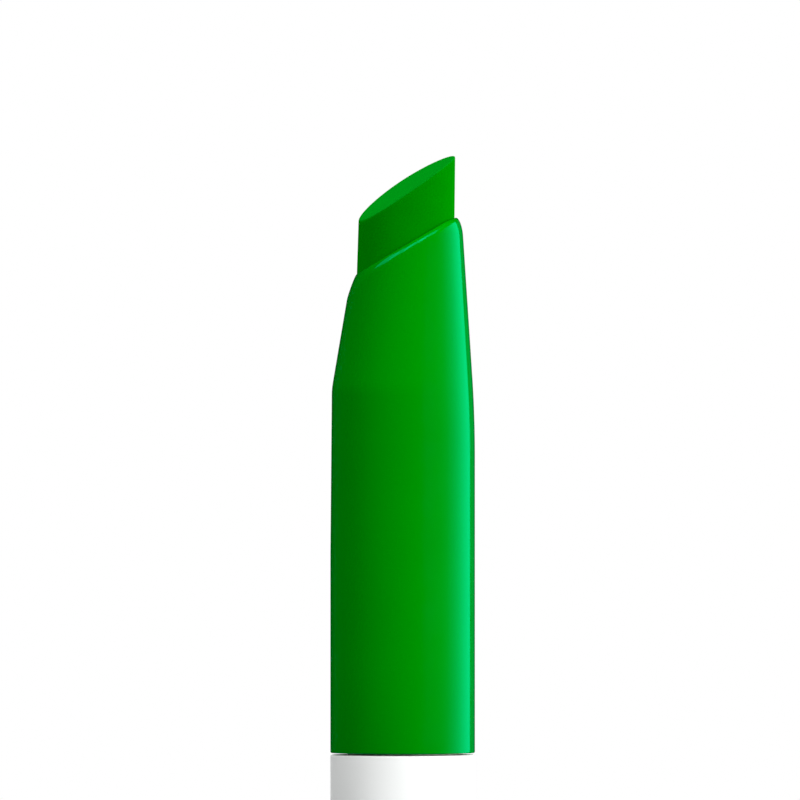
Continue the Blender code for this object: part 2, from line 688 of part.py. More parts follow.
def end_plug(finish):
    """Fluted plug that closes the rear barrel and that the holder stands on."""
    count = 3 * FLUTES

    def fluted(height):
        points = ring(BARREL_RADIUS, height, count=count)
        for point in points[::3]:
            point.xy *= 1 - FLUTE_DEPTH / BARREL_RADIUS
        return points

    spigot = MAGAZINE_RADIUS - PRESS
    groove = spigot - 2 * O_RING_WIRE
    groove_bottom = PLUG_LENGTH + PLUG_RING_RISE - O_RING_GROOVE / 2
    groove_top = groove_bottom + O_RING_GROOVE
    top = PLUG_LENGTH + PLUG_SPIGOT
    outline = [
        (BARREL_RADIUS - PLUG_EDGE, 0.0),
        (BARREL_RADIUS - 0.3 * PLUG_EDGE, 0.3 * PLUG_EDGE),
        (BARREL_RADIUS, PLUG_EDGE),
        (BARREL_RADIUS, PLUG_LENGTH - PLUG_EDGE),
        (BARREL_RADIUS, PLUG_LENGTH),
        (spigot, PLUG_LENGTH),
        (spigot, groove_bottom),
        (groove, groove_bottom),
        (groove, groove_top),
        (spigot, groove_top),
        (spigot, top),
        (PLUG_BORE, top),
        (PLUG_BORE, PLUG_FLOOR),
    ]
    rings = [ring(radius, height, count=count) for radius, height in outline]
    flutes = [fluted(PLUG_EDGE + FLUTE_RUN_OUT), fluted(PLUG_LENGTH - PLUG_EDGE - FLUTE_RUN_OUT)]
    return loft("end_plug", rings[:3] + flutes + rings[3:], finish)


def plug_o_ring(finish):
    """Rubber ring that holds the end plug in the rear barrel."""
    groove = MAGAZINE_RADIUS - PRESS - 2 * O_RING_WIRE
    return o_ring("plug_o_ring", groove, PLUG_LENGTH + PLUG_RING_RISE, finish)


def stop_washer(finish):
    """Washer on the end of the screw, which stops at the nut when the lead is fully out."""
    inner = STOP_THREAD_RADIUS + PRESS
    return tube("stop_washer", inner, STOP_RADIUS, STOP_TOP - STOP_WASHER_THICKNESS, STOP_TOP, finish, SMALL)


def stop_screw(finish):
    top = STOP_TOP + STOP_THREAD_LENGTH
    head_top = STOP_TOP - STOP_WASHER_THICKNESS - SEAT
    head_bottom = head_top - STOP_HEAD_HEIGHT
    edge = STOP_HEAD_HEIGHT / 4
    outline = [
        (0.0, top),
        (STOP_THREAD_RADIUS, top),
        (STOP_THREAD_RADIUS, head_top),
        (STOP_HEAD_RADIUS, head_top),
        (STOP_HEAD_RADIUS, head_bottom + edge),
        (STOP_HEAD_RADIUS - edge, head_bottom),
        (0.0, head_bottom),
    ]
    screw = turned("stop_screw", outline, finish, SMALL)
    size = (STOP_SLOT, 3 * STOP_HEAD_RADIUS, STOP_HEAD_HEIGHT)
    return boolean(screw, block("stop_screw_slot", size, (0.0, 0.0, head_bottom)))


def joint_axis(name, pieces):
    """An empty on the barrel axis, at the seam, that carries the pieces that move together."""
    axis = bpy.data.objects.new(name, None)
    axis.location.z = SEAM_Z
    axis.empty_display_size = BARREL_RADIUS
    HOLDER.objects.link(axis)
    for piece in pieces:
        piece.parent = axis
        piece.matrix_parent_inverse = Matrix.Translation((0.0, 0.0, -SEAM_Z))


def main():
    green_shell = material("green_abs", (0.0, 0.25, 0.01), 0.2)
    white_shell = material("white_abs", (0.85, 0.86, 0.85), 0.25)
    natural = material("natural_acetal", (0.78, 0.78, 0.72), 0.45)
    brass = material("brass", (0.72, 0.53, 0.22), 0.3, 1.0)
    steel = material("spring_steel", (0.55, 0.56, 0.58), 0.3, 1.0)
    rubber = material("black_rubber", (0.02, 0.02, 0.02), 0.7)
    foam = material("grey_foam", (0.35, 0.35, 0.36), 0.9)
    wax = material("green_lead", (0.0, 0.27, 0.01), 0.6)

    front_barrel(green_shell)
    guide_liner(natural)
    connector(natural)
    key_plate(steel)
    drag_o_ring(rubber)
    retaining_ring(steel)

    turning = [rear_barrel(white_shell), bearing_bush(brass), drive_sleeve(natural), feed_nut(brass)]
    turning += [take_up_spring(steel), thrust_washer(natural), end_plug(green_shell), plug_o_ring(rubber)]
    joint_axis("twist_axis", turning)

    pin_length = 2 * (CUP_RADIUS - CUP_PIN_INSET)
    pin = cross_rod("cup_pin", CUP_PIN_RADIUS, pin_length, CUP_BOTTOM + CUP_BASE / 2, steel)
    sliding = [feed_screw(brass), stop_washer(brass), stop_screw(steel), lead_cup(natural), pin]
    sliding += [clamp_ring(steel), lead_pad(foam), lead(wax)]
    joint_axis("feed_axis", sliding)


main()
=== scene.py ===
"""The finished look of a twist-up lead holder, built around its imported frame.

The holder stands on its rear end, +Z runs along the barrel to the tip, and the high side of the
slanted mouth is at +X. Each visible part is modelled here at full detail and rides on the body that
its plain counterpart belongs to. Lengths are in metres.
"""

import json
import math

import bmesh
import bpy
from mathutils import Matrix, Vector

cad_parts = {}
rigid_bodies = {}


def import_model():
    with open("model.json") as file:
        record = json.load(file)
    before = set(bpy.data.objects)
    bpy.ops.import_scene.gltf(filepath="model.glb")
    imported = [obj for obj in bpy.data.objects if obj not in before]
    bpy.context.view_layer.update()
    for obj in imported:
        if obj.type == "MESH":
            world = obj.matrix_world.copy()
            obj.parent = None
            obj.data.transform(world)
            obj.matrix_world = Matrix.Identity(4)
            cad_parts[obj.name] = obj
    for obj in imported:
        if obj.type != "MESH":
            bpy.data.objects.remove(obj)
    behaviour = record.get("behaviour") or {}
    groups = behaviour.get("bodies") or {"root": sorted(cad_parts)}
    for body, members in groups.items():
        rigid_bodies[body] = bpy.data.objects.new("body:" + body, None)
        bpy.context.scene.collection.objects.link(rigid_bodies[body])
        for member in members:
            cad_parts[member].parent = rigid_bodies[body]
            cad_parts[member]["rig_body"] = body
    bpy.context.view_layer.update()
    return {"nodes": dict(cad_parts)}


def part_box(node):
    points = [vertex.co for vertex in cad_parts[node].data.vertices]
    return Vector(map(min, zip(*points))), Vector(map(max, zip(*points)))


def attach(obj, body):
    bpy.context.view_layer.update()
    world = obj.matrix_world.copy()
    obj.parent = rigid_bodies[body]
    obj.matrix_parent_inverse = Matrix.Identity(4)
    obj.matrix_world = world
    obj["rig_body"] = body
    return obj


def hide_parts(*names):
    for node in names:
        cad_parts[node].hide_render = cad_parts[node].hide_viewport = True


bl_info = {
    "name": "Twist-up lead holder",
    "version": (1, 0, 0),
    "blender": (4, 5, 0),
    "location": "View3D > Sidebar > Lead Holder",
    "description": "Models and finishes a twist-up holder for one thick coloured lead",
    "category": "Add Mesh",
}

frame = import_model()
MM = 0.001
SHELL_SIDES = 160  # corners round each barrel, enough for a smooth outline close up
LEAD_SIDES = 96
SIDES_PER_FLUTE = 12
AXIS_HOLE = 0.02 * MM  # radius of the tiny face that closes an end on the axis
SLIDE = 0.15 * MM  # gap between parts that move against each other
PRESS = 0.1 * MM  # gap round a pressed part
FRONT_WALL = 0.9 * MM
REAR_WALL = 0.8 * MM
LEAD_TAIL = 3.1 * MM  # radius of the lead's tail in the cup
LEAN_BELOW_MOUTH = 3 * MM  # from the middle of the mouth down to where the lead starts to lean


# Sizes read from the frame


def span(node):
    """Lowest and highest point of a node along the barrel axis."""
    low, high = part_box(node)
    return low.z, high.z


def reach(node):
    """Largest distance of a node from the barrel axis."""
    return max(vert.co.xy.length for vert in frame["nodes"][node].data.vertices)


def hollow(node):
    """Smallest distance of a node from the barrel axis."""
    return min(vert.co.xy.length for vert in frame["nodes"][node].data.vertices)


def middle_x(node):
    """X of the middle of a node's box."""
    low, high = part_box(node)
    return (low.x + high.x) / 2


BARREL_RADIUS = reach("rear_barrel")
SEAM_Z = span("front_barrel")[0]
LEAD_RADIUS = (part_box("lead")[1].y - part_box("lead")[0].y) / 2
LEAD_X = middle_x("lead")
TIP_Z = span("lead")[1]


class BarrelSettings(bpy.types.PropertyGroup):
    front_colour: bpy.props.StringProperty(
        name="Front colour", description="Green of the front barrel and the end plug", default="#008700"
    )
    rear_colour: bpy.props.StringProperty(
        name="Rear colour", description="White of the rear barrel", default="#E8EAE9"
    )
    seam_edge: bpy.props.FloatProperty(
        name="Seam edge", description="Rounding of the edges at the seam", default=0.12 * MM, unit="LENGTH"
    )
    seam_gap: bpy.props.FloatProperty(
        name="Seam gap", description="Gap between the two barrels", default=0.15 * MM, unit="LENGTH"
    )
    mouth_below_tip: bpy.props.FloatProperty(
        name="Mouth below tip",
        description="From the lead's tip down to the middle of the mouth",
        default=7.6 * MM,
        unit="LENGTH",
    )
    mouth_slope: bpy.props.FloatProperty(
        name="Mouth slope", description="Rise of the mouth per unit of X", default=0.59
    )
    bore_clearance: bpy.props.FloatProperty(
        name="Bore clearance", description="Gap between the lead and the mouth", default=SLIDE, unit="LENGTH"
    )


class LeadSettings(bpy.types.PropertyGroup):
    colour: bpy.props.StringProperty(
        name="Lead colour", description="Green of the coloured lead", default="#008100"
    )
    # Painted top light: a lighter, bluer green than the lead, painted on the upward-facing cut to stand in
    # for overhead light
    cut_painted_light_colour: bpy.props.StringProperty(
        name="Cut colour", description="Green of the cut under painted top light, a shade bluer", default="#008612"
    )
    cut_slope: bpy.props.FloatProperty(
        name="Cut slope", description="Steepest rise of the lead's cut", default=0.688
    )
    cut_turn: bpy.props.FloatProperty(
        name="Cut turn",
        description="From +X towards +Y, the way the cut rises",
        default=math.radians(16.0),
        subtype="ANGLE",
    )
    crown: bpy.props.FloatProperty(
        name="Crown", description="How far the cut stands out in the middle", default=0.26 * MM, unit="LENGTH"
    )
    edge: bpy.props.FloatProperty(
        name="Edge", description="Rounding of the edge of the cut", default=0.14 * MM, unit="LENGTH"
    )
    shift: bpy.props.FloatProperty(
        name="Shift",
        description="Offset towards -X where it enters the mouth",
        default=0.07 * MM,
        unit="LENGTH",
    )
    lean: bpy.props.FloatProperty(
        name="Lean",
        description="How far it then leans towards +X up to the tip",
        default=0.228 * MM,
        unit="LENGTH",
    )
    swell: bpy.props.FloatProperty(
        name="Swell",
        description="Added to its radius where it enters the mouth",
        default=0.07 * MM,
        unit="LENGTH",
    )
    taper: bpy.props.FloatProperty(
        name="Taper",
        description="Taken off its radius from there to the tip",
        default=0.11 * MM,
        unit="LENGTH",
    )


class PlugSettings(bpy.types.PropertyGroup):
    flutes: bpy.props.IntProperty(name="Flutes", description="Number of flutes for grip", default=20)
    flute_depth: bpy.props.FloatProperty(
        name="Flute depth", description="Depth of each flute", default=0.25 * MM, unit="LENGTH"
    )
    edge: bpy.props.FloatProperty(
        name="Edge", description="Rounding of the edge it stands on", default=0.8 * MM, unit="LENGTH"
    )


# Modelling


def begin(name):
    """Takes the primitive that was just added as a new piece, in edit mode with all selected."""
    piece = bpy.context.object
    piece.name = name
    piece.data.name = name
    bpy.ops.object.mode_set(mode="EDIT")
    bpy.ops.mesh.select_all(action="SELECT")
    return piece


def deselect():
    if bpy.context.object and bpy.context.object.mode == "EDIT":
        bpy.ops.object.mode_set(mode="OBJECT")
    bpy.ops.object.select_all(action="DESELECT")


def end_edit(piece, smooth_angle=35.0):
    bpy.ops.mesh.select_all(action="SELECT")
    bpy.ops.mesh.remove_doubles(threshold=0.0005 * MM)
    bpy.ops.mesh.normals_make_consistent(inside=False)
    bpy.ops.object.mode_set(mode="OBJECT")
    bpy.ops.object.shade_smooth_by_angle(angle=math.radians(smooth_angle))
    return piece


def select_edges(test):
    """In edit mode, selects just the edges for which test(edge) holds."""
    bpy.ops.mesh.select_mode(type="EDGE")
    bpy.ops.mesh.select_all(action="DESELECT")
    mesh = bmesh.from_edit_mesh(bpy.context.object.data)
    for edge in mesh.edges:
        if test(edge):
            edge.select_set(True)
    mesh.select_flush(True)
    bmesh.update_edit_mesh(bpy.context.object.data)


def start_loop(name, sides, place):
    """A new piece that begins as one loop of edges round the axis, through place(angle)."""
    deselect()
    bpy.ops.mesh.primitive_circle_add(vertices=sides, radius=BARREL_RADIUS)
    piece = begin(name)
    mesh = bmesh.from_edit_mesh(piece.data)
    turn = mesh.verts.layers.float.new("turn")
    for vert in mesh.verts:
        vert[turn] = math.atan2(vert.co.y, vert.co.x)
        vert.co = place(vert[turn])
    bmesh.update_edit_mesh(piece.data)
    return piece


def draw_out(place):
    """Extrudes the selected loop and moves each new point to place(angle)."""
    bpy.ops.mesh.extrude_region_move()
    data = bpy.context.object.data
    mesh = bmesh.from_edit_mesh(data)
    turn = mesh.verts.layers.float["turn"]
    for vert in mesh.verts:
        if vert.select:
            vert.co = place(vert[turn])
    bmesh.update_edit_mesh(data)


def close_loops():
    """Bridges the two open loops of the piece."""
    select_edges(lambda edge: edge.is_boundary)
    bpy.ops.mesh.bridge_edge_loops()


def circle(radius, height, x=0.0):
    """A place(angle) on a level circle."""
    return lambda angle: Vector((x + radius * math.cos(angle), radius * math.sin(angle), height))


def even_steps(count):
    """Shares of the way from 0 to 1, without the 0."""
    return [i / count for i in range(1, count + 1)]


def round_over(face, size, shares):
    """Draws a rounding of the barrel's edge at a level face; size is negative at an upper edge."""
    for share in shares:
        turn = share * math.pi / 2
        radius = BARREL_RADIUS - abs(size) * (1 - math.sin(turn))
        draw_out(circle(radius, face + size * (1 - math.cos(turn))))


def set_finish(piece, finish):
    piece.data.materials.clear()
    piece.data.materials.append(finish)


def hand_over(piece, node, finish):
    """Gives the piece its material and lets it stand for a node of the frame."""
    set_finish(piece, finish)
    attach(piece, frame["nodes"][node]["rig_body"])
    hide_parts(node)


# Materials


def srgb(code):
    """Turns an sRGB hex value into the linear colour that shaders use."""
    values = [int(code[i : i + 2], 16) / 255 for i in (1, 3, 5)]
    linear = [v / 12.92 if v <= 0.04045 else ((v + 0.055) / 1.055) ** 2.4 for v in values]
    return (*linear, 1.0)


def socket(sockets, key):
    """The socket of that name or number that is in use; a Mix node has one of a name for each type."""
    if isinstance(key, int):
        return sockets[key]
    return next(item for item in sockets if item.name == key and item.enabled)


def add_node(tree, kind, settings=None, links=None, **properties):
    """Adds a node; settings fills its inputs and links joins them to (node, output) pairs."""
    node = tree.nodes.new(kind)
    for key, value in properties.items():
        setattr(node, key, value)
    for key, value in (settings or {}).items():
        socket(node.inputs, key).default_value = value
    for key, (source, output) in (links or {}).items():
        tree.links.new(socket(source.outputs, output), socket(node.inputs, key))
    return node


def new_material(name):
    """A material with an empty Principled shader. Returns the material, its tree and the shader."""
    finish = bpy.data.materials.new(name)
    finish.use_nodes = True
    tree = finish.node_tree
    return finish, tree, tree.nodes["Principled BSDF"]


def speckle(tree, source, grain, detail, low, high, roughness=0.5):
    """A noise in Object coordinates with patches of size grain, that runs from low to high."""
    patches = add_node(
        tree,
        "ShaderNodeTexNoise",
        {"Scale": 1 / grain, "Detail": detail, "Roughness": roughness},
        {"Vector": (source, "Object")},
    )
    return add_node(
        tree,
        "ShaderNodeMapRange",
        {"From Min": 0.3, "From Max": 0.7, "To Min": low, "To Max": high},
        {"Value": (patches, "Fac")},
    )


def moulded_abs(name, colour, gloss_colour, most_gloss=1.0):
    """Injection-moulded ABS from a polished tool: an even body colour under a hard, slightly wavy gloss.

    The gloss has its own colour, and grows towards the outline up to most_gloss.
    """
    finish, tree, body = new_material(name)
    place = add_node(tree, "ShaderNodeTexCoord")
    wave = speckle(tree, place, 4 * MM, 1.0, 0.0, 1.0)
    bump = add_node(
        tree, "ShaderNodeBump", {"Strength": 0.05, "Distance": 0.01 * MM}, {"Height": (wave, "Result")}
    )
    shade = speckle(tree, place, 6 * MM, 2.0, 0.985, 1.015)
    base = add_node(
        tree, "ShaderNodeHueSaturation", {"Color": srgb(colour)}, {"Value": (shade, "Result")}
    )
    body.inputs["Specular IOR Level"].default_value = 0.0
    tree.links.new(base.outputs["Color"], body.inputs["Base Color"])
    tree.links.new(bump.outputs["Normal"], body.inputs["Normal"])
    sheen = speckle(tree, place, 2.5 * MM, 3.0, 0.09, 0.14)
    gloss = add_node(
        tree,
        "ShaderNodeBsdfAnisotropic",
        {"Color": gloss_colour},
        {"Roughness": (sheen, "Result"), "Normal": (bump, "Normal")},
    )
    skin = add_node(tree, "ShaderNodeFresnel", {"IOR": 1.54}, {"Normal": (bump, "Normal")})
    share = add_node(tree, "ShaderNodeMath", {1: most_gloss}, {0: (skin, "Fac")}, operation="MINIMUM")
    both = add_node(
        tree, "ShaderNodeMixShader", None, {0: (share, "Value"), 1: (body, "BSDF"), 2: (gloss, "BSDF")}
    )
    tree.links.new(both.outputs["Shader"], tree.nodes["Material Output"].inputs["Surface"])
    return finish


def wax_colour_core(name, colour, cut_painted_light_colour):
    """Pressed wax and pigment, cut with a blade: matt and slightly clouded, with painted top light on the
    cut, which is painted a lighter, bluer green where it faces up.
    """
    finish, tree, shader = new_material(name)
    place = add_node(tree, "ShaderNodeTexCoord")
    shader.inputs["Diffuse Roughness"].default_value = 0.6
    shader.inputs["Roughness"].default_value = 0.8
    shader.inputs["Specular IOR Level"].default_value = 0.0
    cloud = speckle(tree, place, 1.6 * MM, 4.0, 0.97, 1.03, 0.6)
    # Painted top light: faces whose normal points up get the lighter, bluer cut colour in place of overhead
    # light
    facing = add_node(tree, "ShaderNodeSeparateXYZ", None, {"Vector": (place, "Normal")})
    cut = add_node(
        tree, "ShaderNodeMapRange", {"From Min": 0.3, "From Max": 0.6}, {"Value": (facing, "Z")}
    )
    skin = add_node(
        tree,
        "ShaderNodeMix",
        {"A": srgb(colour), "B": srgb(cut_painted_light_colour)},
        {"Factor": (cut, "Result")},
        data_type="RGBA",
    )
    base = add_node(
        tree,
        "ShaderNodeHueSaturation",
        None,
        {"Value": (cloud, "Result"), "Color": (skin, "Result")},
    )
    tree.links.new(base.outputs["Color"], shader.inputs["Base Color"])
    grain = speckle(tree, place, 0.35 * MM, 5.0, 0.0, 1.0, 0.65)
    bump = add_node(
        tree,
        "ShaderNodeBump",
        {"Strength": 0.15, "Distance": 0.008 * MM},
        {"Height": (grain, "Result")},
    )
    tree.links.new(bump.outputs["Normal"], shader.inputs["Normal"])
    return finish


WAVE_LENGTH = 0.314  # length of one band of a Wave texture at scale 1


def turned_metal(name, colour, roughness, pitch):
    """Metal off the lathe: fine rings along the axis that stretch the highlight."""
    finish, tree, shader = new_material(name)
    place = add_node(tree, "ShaderNodeTexCoord")
    shader.inputs["Metallic"].default_value = 1.0
    shade = speckle(tree, place, 3 * MM, 3.0, 0.94, 1.04)
    base = add_node(
        tree, "ShaderNodeHueSaturation", {"Color": srgb(colour)}, {"Value": (shade, "Result")}
    )
    tree.links.new(base.outputs["Color"], shader.inputs["Base Color"])
    gloss = speckle(tree, place, 1 * MM, 3.0, roughness - 0.05, roughness + 0.06)
    tree.links.new(gloss.outputs["Result"], shader.inputs["Roughness"])
    rings = add_node(
        tree,
        "ShaderNodeTexWave",
        {"Scale": WAVE_LENGTH / pitch, "Distortion": 0.6, "Detail": 2.0},
        {"Vector": (place, "Object")},
        bands_direction="Z",
    )
    bump = add_node(
        tree, "ShaderNodeBump", {"Strength": 0.3, "Distance": 0.01 * MM}, {"Height": (rings, "Fac")}
    )
    tree.links.new(bump.outputs["Normal"], shader.inputs["Normal"])
    return finish


def plain_matt(name, colour, low, high, grain, depth):
    """Matt plastic, rubber or foam: an even colour with a grain of the given size and depth."""
    finish, tree, shader = new_material(name)
    place = add_node(tree, "ShaderNodeTexCoord")
    shade = speckle(tree, place, 2 * MM, 3.0, 0.95, 1.05)
    base = add_node(
        tree, "ShaderNodeHueSaturation", {"Color": srgb(colour)}, {"Value": (shade, "Result")}
    )
    tree.links.new(base.outputs["Color"], shader.inputs["Base Color"])
    gloss = speckle(tree, place, 0.8 * MM, 3.0, low, high)
    tree.links.new(gloss.outputs["Result"], shader.inputs["Roughness"])
    skin = speckle(tree, place, grain, 4.0, 0.0, 1.0)
    bump = add_node(
        tree, "ShaderNodeBump", {"Strength": 0.4, "Distance": depth}, {"Height": (skin, "Result")}
    )
    tree.links.new(bump.outputs["Normal"], shader.inputs["Normal"])
    return finish


GREEN_GLOSS = (0.006, 1.0, 0.55, 1.0)  # linear, green to turquoise
WHITE_GLOSS = (1.0, 1.0, 1.0, 1.0)
WHITE_MOST_GLOSS = 0.15  # keeps the white barrel light where it turns away


# The nose of the front barrel


def ramp(height, start, blend):
    """0 below the start, then rising at 1, with a round blend of this half-length between the two."""
    along = height - start
    if along <= -blend:
        return 0.0
    if along >= blend:
        return along
    return (along + blend) ** 2 / (4 * blend)


class Nose:
    """The slanted, off-centre nose. Its sections are circles that drift towards the high side."""

    # where each side starts to close in, below the middle of the mouth, and by how much per unit of Z
    LOW_SLOPE = 0.161
    LOW_START = 11.75 * MM
    LOW_BLEND = 0.5 * MM
    DRAFT_SLOPE = 0.0085
    DRAFT_START = 25.5 * MM
    HIGH_SLOPE = 0.0655
    HIGH_START = 14.0 * MM
    HIGH_BLEND = 3.3 * MM
    # the mouth bends down from this X on, with this radius
    ROUND_START = 3.2 * MM
    ROUND_RADIUS = 4.8 * MM
    # the rounding of the rim at the low side, in the middle and at the high side
    RIM_HEIGHTS = (1.85 * MM, 0.68 * MM, 1.7 * MM)
    RIM_FULLNESS = (0.25, 0.62, 0.65)
    RIM_NARROWNESS = 4  # a higher power keeps the middle's rounding further round

    def __init__(self, settings):
        self.mouth_z = TIP_Z - settings.mouth_below_tip
        self.slope = settings.mouth_slope
        self.bore = LEAD_RADIUS + settings.bore_clearance

    def wall(self, angle, height):
        """Point of the outer wall."""
        draft = ramp(height, self.mouth_z - self.DRAFT_START, self.LOW_BLEND)
        taper = ramp(height, self.mouth_z - self.LOW_START, self.LOW_BLEND)
        low = BARREL_RADIUS - self.DRAFT_SLOPE * draft - self.LOW_SLOPE * taper
        bend = ramp(height, self.mouth_z - self.HIGH_START, self.HIGH_BLEND)
        high = BARREL_RADIUS - self.HIGH_SLOPE * bend
        radius = (high + low) / 2
        return Vector(((high - low) / 2 + radius * math.cos(angle), radius * math.sin(angle), height))

    def mouth(self, x):
        """Height of the mouth's surface."""
        rounded = max(0.0, x - self.ROUND_START)
        return self.mouth_z + self.slope * x - rounded**2 / (2 * self.ROUND_RADIUS)

    def corner(self, angle):
        """Where the wall would meet the mouth without a rounding."""
        height = self.mouth_z
        for _ in range(12):  # settles far within a micrometre
            height = self.mouth(self.wall(angle, height).x)
        return self.wall(angle, height)

    def around(self, angle, values):
        """A value at this angle, from its values at the low side, in the middle and at the high side."""
        low, front, high = values
        side = math.cos(angle)
        end = high if side > 0 else low
        return front + (end - front) * side**self.RIM_NARROWNESS

    def rim_start(self, angle):
        """Height at which the wall turns into the rim."""
        return self.corner(angle).z - self.around(angle, self.RIM_HEIGHTS)

    def rim(self, angle, share):
        """The rounded rim, from the outer wall at 0 to the edge of the bore at 1."""
        start = self.wall(angle, self.rim_start(angle))
        x = LEAD_X + self.bore * math.cos(angle)
        end = Vector((x, self.bore * math.sin(angle), self.mouth(x)))
        a, c = (1 - share) ** 2, share**2
        b = 2 * share * (1 - share) * self.around(angle, self.RIM_FULLNESS)
        return (a * start + b * self.corner(angle) + c * end) / (a + b + c)


class HOLDER_OT_front_barrel(bpy.types.Operator):
    """Models the green front barrel with its slanted nose and rounded mouth"""

    bl_idname = "holder.front_barrel"
    bl_label = "Front barrel"

    def execute(self, context):
        settings = context.scene.holder_barrel
        nose = Nose(settings)
        edge = settings.seam_edge
        inner = BARREL_RADIUS - FRONT_WALL
        liner_top = span("guide_liner")[1] + SLIDE
        straight = nose.mouth_z - nose.DRAFT_START - nose.LOW_BLEND
        bend = nose.mouth_z - nose.HIGH_START + nose.HIGH_BLEND

        piece = start_loop("front_shell", SHELL_SIDES, circle(BARREL_RADIUS - edge, SEAM_Z))
        round_over(SEAM_Z, edge, even_steps(4))
        for share in even_steps(2):
            draw_out(circle(BARREL_RADIUS, SEAM_Z + edge + share * (straight - SEAM_Z - edge)))
        for share in even_steps(60):
            draw_out(lambda angle: nose.wall(angle, straight + (bend - straight) * share))
        for share in even_steps(16):
            draw_out(lambda angle: nose.wall(angle, bend + (nose.rim_start(angle) - bend) * share))
        for share in even_steps(20):
            draw_out(lambda angle: nose.rim(angle, share))
        draw_out(circle(nose.bore, liner_top, LEAD_X))
        draw_out(circle(inner, liner_top))
        draw_out(circle(inner, SEAM_Z))
        close_loops()
        end_edit(piece)
        finish = moulded_abs("green_abs_polished", settings.front_colour, GREEN_GLOSS)
        hand_over(piece, "front_barrel", finish)
        return {"FINISHED"}


class HOLDER_OT_lead(bpy.types.Operator):
    """Models the coloured lead with its slanted, slightly crowned cut"""

    bl_idname = "holder.lead"
    bl_label = "Lead"

    def execute(self, context):
        settings = context.scene.holder_lead
        bottom, top = span("lead")
        shoulder = span("lead_cup")[1] + SLIDE
        edge = settings.edge
        base = TIP_Z - context.scene.holder_barrel.mouth_below_tip - LEAN_BELOW_MOUTH
        reach_out = TIP_Z - base

        def settle(point):
            """From the base up, makes the lead lean and taper."""
            out = max(0.0, point.z - base) / reach_out
            girth = 1 + (settings.swell - settings.taper * out) / LEAD_RADIUS
            point.x = LEAD_X + (point.x - LEAD_X) * girth - settings.shift + settings.lean * out
            point.y *= girth
            return point

        def cut(radius, drop, middle):
            """A place(angle) on the cut, or dropped below it for the rounded edge."""

            def place(angle):
                along = radius * math.cos(angle - settings.cut_turn)
                point = circle(radius, middle - drop, LEAD_X)(angle)
                crown = settings.crown * (1 - (along / LEAD_RADIUS) ** 2)
                point.z += settings.cut_slope * along + crown
                return settle(point)

            return place

        rounded = [
            (LEAD_RADIUS - edge * (1 - math.cos(turn)), edge * (1 - math.sin(turn)))
            for turn in (share * math.pi / 2 for share in (0.0, 0.33, 0.66, 1.0))
        ]
        middle = top - max(cut(*ring, 0.0)(settings.cut_turn).z for ring in rounded)

        piece = start_loop("colour_lead", LEAD_SIDES, circle(AXIS_HOLE, bottom, LEAD_X))
        draw_out(circle(LEAD_TAIL - edge, bottom, LEAD_X))
        draw_out(circle(LEAD_TAIL, bottom + edge, LEAD_X))
        draw_out(circle(LEAD_TAIL, shoulder, LEAD_X))
        draw_out(circle(LEAD_RADIUS - edge, shoulder, LEAD_X))
        draw_out(circle(LEAD_RADIUS, shoulder + edge, LEAD_X))

        def foot(angle):
            return settle(circle(LEAD_RADIUS, base, LEAD_X)(angle))

        draw_out(foot)
        side = cut(*rounded[0], middle)
        for share in even_steps(24):
            draw_out(lambda angle: foot(angle).lerp(side(angle), share))
        for ring in rounded[1:]:
            draw_out(cut(*ring, middle))
        for share in (0.9, 0.75, 0.6, 0.45, 0.3, 0.15, 0.005):
            draw_out(cut((LEAD_RADIUS - edge) * share, 0.0, middle))
        bpy.ops.mesh.edge_face_add()
        select_edges(lambda edge: edge.is_boundary)
        bpy.ops.mesh.edge_face_add()
        end_edit(piece)
        finish = wax_colour_core("wax_colour_core", settings.colour, settings.cut_painted_light_colour)
        hand_over(piece, "lead", finish)
        return {"FINISHED"}


class HOLDER_OT_rear_barrel(bpy.types.Operator):
    """Models the white rear barrel that is turned by hand"""

    bl_idname = "holder.rear_barrel"
    bl_label = "Rear barrel"

    def execute(self, context):
        settings = context.scene.holder_barrel
        low, high = span("rear_barrel")[0], SEAM_Z - settings.seam_gap
        edge = settings.seam_edge
        shoulder = span("drive_sleeve")[0] - SLIDE
        magazine = hollow("rear_barrel")
        bore = BARREL_RADIUS - REAR_WALL
        piece = start_loop("rear_shell", SHELL_SIDES, circle(magazine, low))
        draw_out(circle(BARREL_RADIUS - edge, low))
        round_over(low, edge, (0.5, 1.0))
        for share in (0.25, 0.5, 0.75):
            draw_out(circle(BARREL_RADIUS, low + share * (high - low)))
        round_over(high, -edge, (1.0, 0.5, 0.0))
        draw_out(circle(bore, high))
        draw_out(circle(bore, shoulder))
        draw_out(circle(magazine, shoulder))
        close_loops()
        end_edit(piece)
        finish = moulded_abs("white_abs_polished", settings.rear_colour, WHITE_GLOSS, WHITE_MOST_GLOSS)
        hand_over(piece, "rear_barrel", finish)
        return {"FINISHED"}


